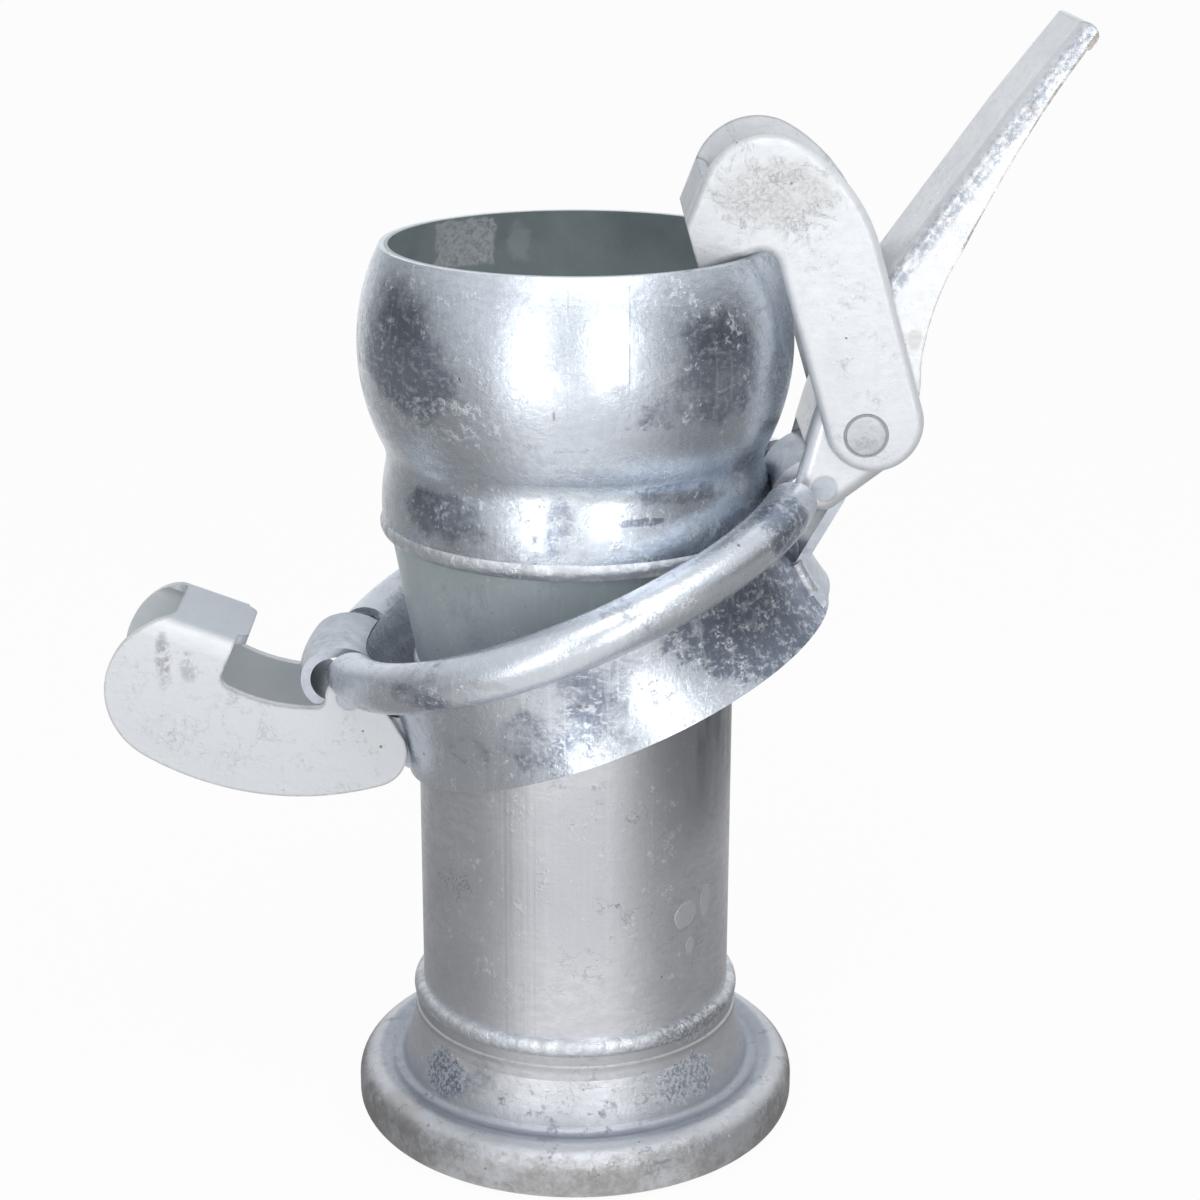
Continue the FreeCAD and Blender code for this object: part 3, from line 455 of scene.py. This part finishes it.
def pipe_shade(g, tone, shine, normal):
    """Painted shade and dark reflection: dull grey darkening on the pipe's upper right under the ring, and
    dried drops below it.
    """
    painted_shade = g.times(g.remap(g.run(RIGHT), *SHADE_X), g.remap(g.run(UP), *SHADE_Z),
                   g.remap(g.drawn(SHADE_BREAKS), 0.34, 0.58, 0.62, 0.95), g.remap(g.run(NEAR), *SHADE_NEAR))
    tone = g.mix(painted_shade, tone, SHADE_GREY)
    for centre, reach in DROPS:
        edge = g.weigh((g.away(centre, reach), 1.0), (g.noise(320.0, 3.0), 0.5))
        drop = g.remap(edge, 1.16, 1.24, 1.0, 0.0)
        ring = g.times(g.remap(edge, 1.06, 1.14), drop)
        tone = g.mix(g.times(drop, 0.45), tone, ZINC_WHITE)
        tone = g.mix(g.times(ring, 0.55), tone, ZINC_WHITE)
        shine = g.math("ADD", shine, g.times(drop, 0.10))
        normal = g.bump(drop, 0.4, DROP_DEPTH, normal)
    return tone, shine, normal


def rim_wear(g, tone, shine, normal):
    """Scuffed brownish grey on the rolled rim and collar, and painted shade in the groove behind the rim."""
    rim = g.along(UP, *RIM_Z, 0.0014)
    rubbed = g.weigh((g.noise(48.0, 7.0, 0.72), 0.7), (g.noise(420.0, 4.0, 0.7), 0.3))
    tone = g.mix(g.times(rim, g.remap(rubbed, 0.40, 0.58, 0.20, 0.90)), tone, RIM_WORN)
    tone = g.mix(g.times(g.along(UP, *COLLAR_Z, 0.001), 0.40), tone, RIM_WORN)
    away = g.away(ORIGIN, (1.0, 1.0, 1.0e4))
    groove_shade = g.times(g.remap(away, *BEHIND_RIM_IN), g.remap(away, *BEHIND_RIM_OUT, 1.0, 0.0),
                     g.along(UP, *BEHIND_RIM_Z, 0.001))
    return g.mix(g.times(groove_shade, 0.45), tone, ZINC_DARK), shine, normal


def rivet_groove(g, tone, shine, normal):
    """Groove in the cheeks around the rivet's heads, dented and darkened with painted shade."""
    away = g.away(RIVET_AT, (1.0, 1.0e4, 1.0))
    groove_shade = g.times(g.remap(away, *RIVET_GROOVE_IN), g.remap(away, *RIVET_GROOVE_OUT, 1.0, 0.0))
    tone = g.mix(g.times(groove_shade, 0.75), tone, ZINC_DARK)
    normal = g.bump(groove_shade, 0.6, -GROOVE_DEPTH, normal)
    return tone, shine, normal


def lever_bend_reflection(g, tone, shine, normal):
    """Painted dark reflection: noisy grey band beside the bend of the near flank."""
    band = g.times(g.along(FLANK_ACROSS, *FLANK_BAND, 0.0012), g.remap(g.run(NEAR), *NEAR_FLANK),
                   g.remap(g.noise(480.0, 5.0, 0.72), 0.40, 0.60))
    return g.mix(g.times(band, 0.60), tone, ZINC_DARK), shine, normal


def cut_edge_shade(g, tone, shine, normal):
    """Thin line along the sheet's cut edges: painted shade of the rounded edge, brownish as of wear."""
    rounded = g.add("ShaderNodeBevel", samples=4)
    rounded.inputs["Radius"].default_value = EDGE_REACH
    flat = g.add("ShaderNodeNewGeometry").outputs["Normal"]
    bend = g.run(flat, rounded.outputs["Normal"])
    edge = g.times(g.remap(bend, 0.84, 0.98, 1.0, 0.0), g.remap(g.noise(*EDGE_BREAKS), 0.30, 0.50, 0.35, 1.0))
    return g.mix(g.times(edge, 0.7), tone, EDGE_SHADE_AND_WEAR), shine, normal


def lever_rim_shade(g, tone, shine, normal):
    """Brown-grey line along the outer edge of the lever's flanks: painted shade of the edge, partly wear."""
    height = g.run(UP)
    high = g.remap(height, *TIP_FROM)
    shank = g.times(g.along(SHANK_ACROSS, *SHANK_RIM, 0.0002), g.remap(height, *SHANK_FROM))
    tip = g.along(TIP_ACROSS, *TIP_RIM, 0.0002)
    line = g.weigh((shank, 1.0), (g.times(shank, high), -1.0), (g.times(tip, high), 1.0))
    line = g.times(line, g.remap(g.noise(*EDGE_BREAKS), 0.35, 0.55, 0.4, 0.9))
    return g.mix(line, tone, EDGE_SHADE_AND_WEAR), shine, normal


def web_tone(g, tone, shine, normal):
    """Slightly bluer zinc on the bent web between the cheeks."""
    web = g.along(FAR, *WEB_Y, 0.0008)
    return g.mix(g.times(web, 0.55), tone, WEB_BLUE), shine, normal


def far_cheek(g, tone, shine, normal):
    """Darker zinc on the inner face of the far cheek."""
    own_normal = g.add("ShaderNodeTexCoord").outputs["Normal"]
    facing = g.remap(g.run(NEAR, own_normal), 0.6, 0.8)
    place = g.remap(g.run(FAR), *FAR_CHEEK)
    return g.mix(g.times(facing, place), tone, ZINC_INNER), shine, normal


def weld(name, seed):
    """Galvanised weld bead: a soft ridge in the zinc's own tone, crusty in places."""
    g = Graph(name, seed)
    lumps = g.noise(*WELD_LUMPS)
    fine = g.noise(*WELD_GRAIN)
    socket_crust = g.blot(SOCKET_CRUST_AT, SOCKET_CRUST_REACH)
    where = g.math("ADD", g.noise(22.0, 3.0, 0.5), g.times(socket_crust, 0.15))
    crusty = g.times(g.remap(where, 0.52, 0.62), g.remap(fine, 0.44, 0.54))
    tone = g.mix(g.remap(lumps, 0.36, 0.62), WELD_LIGHT, PLAIN_MID)
    tone = g.mix(g.times(crusty, 0.65), tone, ZINC_PIT)
    g.link(tone, g.shader.inputs["Base Color"])
    g.shader.inputs["Metallic"].default_value = 0.85
    g.link(g.remap(lumps, 0.3, 0.7, 0.24, 0.48), g.shader.inputs["Roughness"])
    height = g.weigh((lumps, 1.0), (fine, 0.25))
    g.link(g.bump(height, 0.70, WAVE_DEPTH), g.shader.inputs["Normal"])
    return g.mat


def rubber(name):
    """Matt black rubber with dust on it."""
    g = Graph(name)
    dust = g.noise(160.0, 5.0, 0.6)
    g.link(g.mix(g.remap(dust, 0.45, 0.75), RUBBER_BLACK, RUBBER_DUST), g.shader.inputs["Base Color"])
    g.link(g.remap(dust, 0.3, 0.7, 0.55, 0.75), g.shader.inputs["Roughness"])
    g.link(g.bump(g.noise(900.0, 3.0), 0.25, GRAIN_DEPTH), g.shader.inputs["Normal"])
    return g.mat


# Marks on the zinc: kind, centre, reach along x, y and z, amount
BALL_MARKS = (
    # The first two marks, at the ball's left and right, are partly bare zinc and partly a painted dark
    # reflection of the surround's dark sides.
    ("dark", (-0.0539, -0.0472, 0.2790), (0.026, 0.026, 0.020), 0.10),
    ("dark", (0.0460, -0.0550, 0.2800), (0.020, 0.020, 0.024), 0.11),
    ("crust", (-0.0420, -0.0560, 0.2640), (0.032, 0.032, 0.009), 0.06),
    ("crust", (0.0496, -0.0495, 0.2932), (0.007, 0.007, 0.005), 0.07),
    ("clean", (0.0030, -0.0700, 0.2850), (0.030, 0.024, 0.034), 0.12),
    ("dark", (-0.0430, -0.0480, 0.2310), (0.024, 0.022, 0.010), 0.13),
    ("dark", (-0.0050, -0.0650, 0.2310), (0.006, 0.010, 0.012), 0.08),
    ("dark", (0.0340, -0.0540, 0.2400), (0.022, 0.020, 0.005), 0.12),
    ("dark", (0.0210, -0.0600, 0.2322), (0.012, 0.010, 0.0018), 0.20),
    ("pale", (0.0220, -0.0670, 0.2622), (0.018, 0.010, 0.0010), 0.45),
    ("clean", (0.0220, -0.0670, 0.2590), (0.026, 0.016, 0.006), 0.14),
    ("brown", (-0.0065, -0.0712, 0.2688), (0.0005, 0.003, 0.0019), 0.80),
)
RING_MARKS = (
    # Painted shade and dark reflection on the skirt's right, added to the bare-patch field.
    ("dark", (0.0660, -0.0500, 0.1990), (0.048, 0.044, 0.028), 0.27),
    ("dark", (-0.0150, -0.0743, 0.1640), (0.016, 0.016, 0.012), 0.06),
    ("dark", (-0.0365, -0.0601, 0.1566), (0.016, 0.016, 0.008), 0.08),
    ("dark", (0.0680, -0.0560, 0.2300), (0.018, 0.018, 0.012), 0.17),
    ("crack", (-0.0500, -0.0780, 0.1810), (0.016, 0.016, 0.007), 0.95),
    ("dark", (-0.0500, -0.0780, 0.1800), (0.014, 0.014, 0.005), 0.07),
    ("brown", (-0.0271, -0.0900, 0.1887), (0.008, 0.008, 0.002), 0.22),
    ("clean", (-0.0100, -0.0900, 0.2000), (0.045, 0.030, 0.014), 0.12),
)
PIPE_MARKS = (
    ("crack", (-0.0400, -0.0350, 0.0980), (0.016, 0.016, 0.008), 0.85),
    ("crack", (0.0080, -0.0530, 0.0850), (0.020, 0.010, 0.020), 0.45),
    ("crack", (0.0206, -0.0499, 0.1282), (0.005, 0.005, 0.003), 0.90),
    ("crack", (0.0138, -0.0522, 0.0986), (0.004, 0.004, 0.003), 0.90),
)
SOCKET_MARKS = (
    ("crust", (-0.0455, -0.0377, 0.0271), (0.013, 0.013, 0.010), 0.16),
    ("crust", (0.0395, -0.0434, 0.0287), (0.016, 0.016, 0.010), 0.16),
    ("crust", (0.0429, -0.0372, 0.0440), (0.018, 0.018, 0.004), 0.14),
    ("dark", (-0.0455, -0.0377, 0.0271), (0.013, 0.013, 0.010), 0.10),
    ("dark", (0.0240, -0.0707, 0.0166), (0.0025, 0.0025, 0.0009), 0.40),
    ("dark", (0.0294, -0.0716, 0.0122), (0.0040, 0.0040, 0.0008), 0.40),
    ("brown", (-0.0600, -0.0420, 0.0180), (0.012, 0.012, 0.004), 0.35),
    ("brown", (0.0, -0.0780, 0.0080), (0.030, 0.008, 0.006), 0.20),
)
FIXED_MARKS = (
    ("scuff", (-0.1369, -0.0273, 0.1755), (0.0034, 0.004, 0.0120), 0.85),
    ("scuff", (-0.1285, -0.0273, 0.1725), (0.0036, 0.004, 0.0070), 0.60),
    ("crust", (-0.0740, -0.0273, 0.1480), (0.018, 0.004, 0.010), 0.05),
    ("crack", (-0.1200, -0.0273, 0.1500), (0.030, 0.004, 0.016), 0.30),
)
LEVER_HOOK_MARKS = (
    ("crack", (0.0650, -0.0308, 0.3280), (0.026, 0.006, 0.018), 0.45),
    ("crust", (0.0640, -0.0308, 0.3290), (0.026, 0.006, 0.014), 0.10),
    ("brown", (0.0620, -0.0308, 0.3310), (0.024, 0.006, 0.012), 0.20),
    ("clean", (0.0850, -0.0308, 0.3200), (0.010, 0.006, 0.012), 0.10),
)
LEVER_MARKS = (
    ("brown", (0.1418, -0.0268, 0.3552), (0.003, 0.004, 0.004), 0.35),
    ("brown", (0.1083, -0.0268, 0.2833), (0.003, 0.004, 0.004), 0.35),
)

# Dried drops on the pipe: centre, reach along x, y and z
DROPS = (
    ((0.0375, -0.0389, 0.0876), (0.0050, 0.006, 0.0050)),
    ((0.0443, -0.0309, 0.0895), (0.0024, 0.004, 0.0060)),
    ((0.0391, -0.0373, 0.0757), (0.0016, 0.004, 0.0032)),
)

FINISHES = {
    "ball_end": zinc(
        "zinc_ball", 0.3, dark=0.75, bare=0.565, patch=19.0, streak=0.35, chalk=0.5, rough=0.265,
        grain=0.35, metal=0.95, calm=((0.2440, 0.2560),), marks=BALL_MARKS, extras=(ball_lines, ball_mouth)),
    "reducing_cone": zinc(
        "zinc_cone", 1.7, light=ZINC_MID, mid=ZINC_GREEN, dark=0.5, bare=0.58, streak=0.25, chalk=0.3,
        rough=0.34, metal=0.35, cracks=0.4),
    "straight_pipe": zinc(
        "zinc_pipe", 2.9, light=PLAIN_LIGHT, mid=PLAIN_MID, dark=0.6, bare=0.63, patch=14.0, streak=0.16,
        chalk=0.35, grain=0.3, rough=0.37, metal=0.85, specks=0.25, wave=0.10, marks=PIPE_MARKS,
        extras=(pipe_seam, pipe_shade)),
    "female_socket": zinc(
        "zinc_socket", 4.1, light=PLAIN_LIGHT, mid=PLAIN_MID, dark=0.7, bare=0.60, patch=26.0,
        streak=0.10, chalk=0.6, rough=0.38, metal=0.8, grain=0.45, wave=0.22, specks=0.3,
        pit=SOCKET_PIT, grit=SOCKET_GRIT, marks=SOCKET_MARKS, extras=(rim_wear,)),
    "closure_ring": zinc(
        "zinc_ring", 5.3, light=RING_LIGHT, mid=RING_MID, dark=0.88, bare=0.575, patch=21.0, streak=0.4,
        chalk=0.35, rough=0.24, metal=0.84, grain=0.4, marks=RING_MARKS, turn=math.radians(40.0)),
    "fixed_hook": zinc(
        "zinc_fixed_hook", 6.1, light=ZINC_WHITE, mid=ZINC_CHALK, dark=0.35, bare=0.62, streak=0.0,
        chalk=0.35, rough=0.42, metal=0.35, grain=0.3, marks=FIXED_MARKS,
        extras=(cut_edge_shade, web_tone, far_cheek)),
    "lever_arm": zinc(
        "zinc_lever", 7.7, light=ZINC_WHITE, mid=ZINC_CHALK, dark=0.3, bare=0.64, streak=0.0, chalk=0.2,
        rough=0.32, metal=0.55, marks=LEVER_MARKS, extras=(lever_bend_reflection, cut_edge_shade, lever_rim_shade)),
    "lever_hook": zinc(
        "zinc_lever_hook", 8.3, light=ZINC_WHITE, mid=ZINC_CHALK, dark=0.3, bare=0.62, streak=0.0,
        chalk=0.35, rough=0.42, metal=0.35, grain=0.4, pit=HOOK_PIT, marks=LEVER_HOOK_MARKS,
        extras=(rivet_groove, cut_edge_shade, web_tone)),
    "hook_rivet": zinc(
        "zinc_rivet", 9.1, light=RIVET_LIGHT, mid=RIVET_MID, dark=0.5, bare=0.56, patch=90.0, streak=0.0,
        chalk=0.5, rough=0.42, metal=0.45, grain=0.3),
    "ear": zinc(
        "zinc_ear", 3.3, light=SMALL_LIGHT, mid=EAR_MID, dark=0.5, bare=0.58, patch=40.0, streak=0.1,
        chalk=0.3, rough=0.34, metal=0.7),
    "pin": zinc(
        "zinc_pin", 2.2, light=SMALL_LIGHT, mid=PIN_MID, dark=0.4, bare=0.56, patch=60.0, streak=0.0,
        chalk=0.3, rough=0.34),
    "weld": weld("zinc_weld", 4.4),
    "seal_ring": rubber("rubber"),
}


def finish_of(node):
    """The finish of a CAD node, by its name."""
    if node in FINISHES:
        return FINISHES[node]
    if "strap" in node:
        return FINISHES["ear"]
    if "pin" in node:
        return FINISHES["pin"]
    return FINISHES["weld"]


for name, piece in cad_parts.items():
    piece.data.materials.clear()
    piece.data.materials.append(finish_of(name))


def turned(name, profile, centre, facing, steps=96):
    """A closed turned piece about an axis along y; profile holds (radius, height) pairs."""
    mesh = bmesh.new()
    rings = []
    for radius, rise in profile:
        y = centre[1] + facing * rise
        if radius == 0.0:
            rings.append([mesh.verts.new((centre[0], y, centre[2]))])
            continue
        ring = []
        for step in range(steps):
            a = 2.0 * math.pi * step / steps
            x = centre[0] + radius * math.cos(a)
            z = centre[2] + radius * math.sin(a)
            ring.append(mesh.verts.new((x, y, z)))
        rings.append(ring)
    for low, high in zip(rings, rings[1:]):
        for step in range(steps):
            after = (step + 1) % steps
            corners = [low[step % len(low)], low[after % len(low)],
                       high[after % len(high)], high[step % len(high)]]
            mesh.faces.new(list(dict.fromkeys(corners)))
    bmesh.ops.recalc_face_normals(mesh, faces=mesh.faces)
    for face in mesh.faces:
        face.smooth = True
    data = bpy.data.meshes.new(name)
    mesh.to_mesh(data)
    mesh.free()
    piece = bpy.data.objects.new(name, data)
    bpy.context.collection.objects.link(piece)
    return piece


# Rivet heads: a low dome that laps 0.4 mm over each cheek
HEAD_PROFILE = ((0.0, 0.00052), (0.0022, 0.00050), (0.0042, 0.00042), (0.0056, 0.00030), (0.0062, 0.00018),
                (0.0064, 0.00008), (0.0062, 0.00004), (0.0058, 0.00004), (0.0056, -0.0004), (0.0, -0.0004))
rivet_low, rivet_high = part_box("hook_rivet")
for name, y, facing in (("rivet_head_near", rivet_low[1], -1.0), ("rivet_head_far", rivet_high[1], 1.0)):
    head = turned(name, HEAD_PROFILE, (RIVET_AT[0], y, RIVET_AT[2]), facing)
    head.data.materials.append(FINISHES["hook_rivet"])
    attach(head, "lever")

# Floor: white to the camera, and in reflections a paper sweep that darkens to both sides
# and carries the left soft box's glare
FLOOR_SIZE = 8.0
FLOOR_AT = (0.0, 1.0, -0.0006)
GLARE_WAY = (-0.36, -0.93, 0.0)
WHITE_SHARE = 0.95
bpy.ops.mesh.primitive_plane_add(size=FLOOR_SIZE, location=FLOOR_AT)
floor = bpy.context.object
floor.name = "floor"
paper = Graph("floor_paper")
paper.place = paper.add("ShaderNodeNewGeometry").outputs["Position"]
paper.shader.inputs["Base Color"].default_value = PAPER
paper.shader.inputs["Roughness"].default_value = 0.9
rays = paper.add("ShaderNodeLightPath")
white = paper.add("ShaderNodeEmission")
sweep = paper.add("ShaderNodeEmission")
distance = paper.away(ORIGIN)
unit = paper.vector("NORMALIZE", paper.place).outputs[0]
across = paper.math("ABSOLUTE", paper.run(RIGHT, unit))
level = paper.times(paper.remap(distance, 0.10, 1.6, 0.84, 1.0), paper.remap(across, 0.30, 0.95, 1.0, 0.30))
glare = paper.times(paper.remap(paper.run(GLARE_WAY, unit), 0.972, 0.994, 0.0, 1.7),
                    paper.remap(distance, 0.65, 0.95))
paper.link(paper.math("ADD", level, glare), sweep.inputs["Strength"])
lit = paper.pick(rays.outputs["Is Glossy Ray"], paper.shader.outputs["BSDF"], sweep.outputs["Emission"])
seen = paper.pick(paper.times(rays.outputs["Is Camera Ray"], WHITE_SHARE), lit, white.outputs["Emission"])
paper.link(seen, paper.out.inputs["Surface"])
floor.data.materials.append(paper.mat)

# Soft boxes, all aimed at one point
LIGHT_TARGET = Vector((0.0, 0.0, 0.2))


def soft_box(name, azimuth, elevation, distance, width, height, power):
    """A rectangular soft light; azimuth 0 is in front, positive to the right."""
    light = bpy.data.lights.new(name, "AREA")
    light.shape = "RECTANGLE"
    light.size = width
    light.size_y = height
    light.energy = power
    lamp = bpy.data.objects.new(name, light)
    bpy.context.collection.objects.link(lamp)
    turn = math.radians(azimuth)
    lift = math.radians(elevation)
    way = Vector((math.sin(turn) * math.cos(lift), -math.cos(turn) * math.cos(lift), math.sin(lift)))
    lamp.location = LIGHT_TARGET + way * distance
    lamp.rotation_mode = "QUATERNION"
    lamp.rotation_quaternion = way.to_track_quat("Z", "Y")
    return lamp


soft_box("soft_left", azimuth=-24.0, elevation=11.0, distance=1.7, width=0.26, height=0.94, power=2.6)
soft_box("soft_right", azimuth=18.0, elevation=10.0, distance=1.7, width=0.34, height=0.98, power=4.0)
soft_box("soft_top", azimuth=6.0, elevation=56.0, distance=1.6, width=1.6, height=1.0, power=7.5)
side = soft_box("soft_side", azimuth=62.0, elevation=30.0, distance=1.8, width=0.7, height=0.9, power=3.0)
side.visible_glossy = False

# Surround: white to the camera and a plain grey light; in reflections white behind the object,
# grey in front, darker at the two sides and pale overhead. Each stop is an azimuth in degrees,
# 0 in front and positive to the right, and the level there.
STOPS = ((-180, 1.0), (-150, 0.80), (-134, 0.36), (-116, 0.15), (-88, 0.16), (-66, 0.48), (-40, 0.78),
         (0, 0.62), (36, 0.60), (54, 0.34), (70, 0.10), (110, 0.09),
         (120, 0.40), (132, 0.85), (180, 1.0))
STOP_TINT = (0.97, 1.0, 1.03)
OVERHEAD = (0.72, 0.74, 0.76, 1.0)
OVERHEAD_FROM, OVERHEAD_TO = 0.16, 0.60
PLAIN_LEVEL = (0.48, 0.49, 0.50, 1.0)
WHITE = (1.0, 1.0, 1.0, 1.0)

world = bpy.data.worlds.new("surround")
bpy.context.scene.world = world
world.use_nodes = True
sky = Nodes(world.node_tree)


def background(colour):
    """A world shader of one colour or of a linked one."""
    node = sky.add("ShaderNodeBackground")
    sky.feed(node.inputs["Color"], colour)
    return node.outputs["Background"]


way = sky.add("ShaderNodeSeparateXYZ")
sky.link(sky.add("ShaderNodeTexCoord").outputs["Generated"], way.inputs["Vector"])
azimuth = sky.math("ARCTAN2", way.outputs["X"], sky.math("MULTIPLY", way.outputs["Y"], -1.0))
ramp = sky.add("ShaderNodeValToRGB")
sky.link(sky.remap(azimuth, -math.pi, math.pi, smooth=False), ramp.inputs["Fac"])
ramp.color_ramp.elements[0].position = 0.0
ramp.color_ramp.elements[1].position = 1.0
for place, _ in STOPS[1:-1]:
    ramp.color_ramp.elements.new(place / 360.0 + 0.5)
for element, (place, value) in zip(ramp.color_ramp.elements, STOPS):
    element.position = place / 360.0 + 0.5
    element.color = (value * STOP_TINT[0], value * STOP_TINT[1], value * STOP_TINT[2], 1.0)
rise = sky.remap(way.outputs["Z"], OVERHEAD_FROM, OVERHEAD_TO, smooth=False)
mirrored = background(sky.mix(rise, ramp.outputs["Color"], OVERHEAD))
path = sky.add("ShaderNodeLightPath")
lit = sky.pick(path.outputs["Is Glossy Ray"], background(PLAIN_LEVEL), mirrored)
seen = sky.pick(path.outputs["Is Camera Ray"], lit, background(WHITE))
sky.link(seen, sky.add("ShaderNodeOutputWorld").inputs["Surface"])

# Camera
camera = bpy.data.cameras.new("camera")
camera.lens = CAMERA_LENS
camera.sensor_width = CAMERA_SENSOR
camera.shift_x = CAMERA_SHIFT
camera.clip_start, camera.clip_end = CAMERA_CLIP
eye = bpy.data.objects.new("camera", camera)
eye.location = CAMERA_AT
eye.rotation_euler = (CAMERA_PITCH, 0.0, 0.0)
bpy.context.collection.objects.link(eye)
bpy.context.scene.camera = eye
bpy.context.scene.view_settings.view_transform = "Standard"
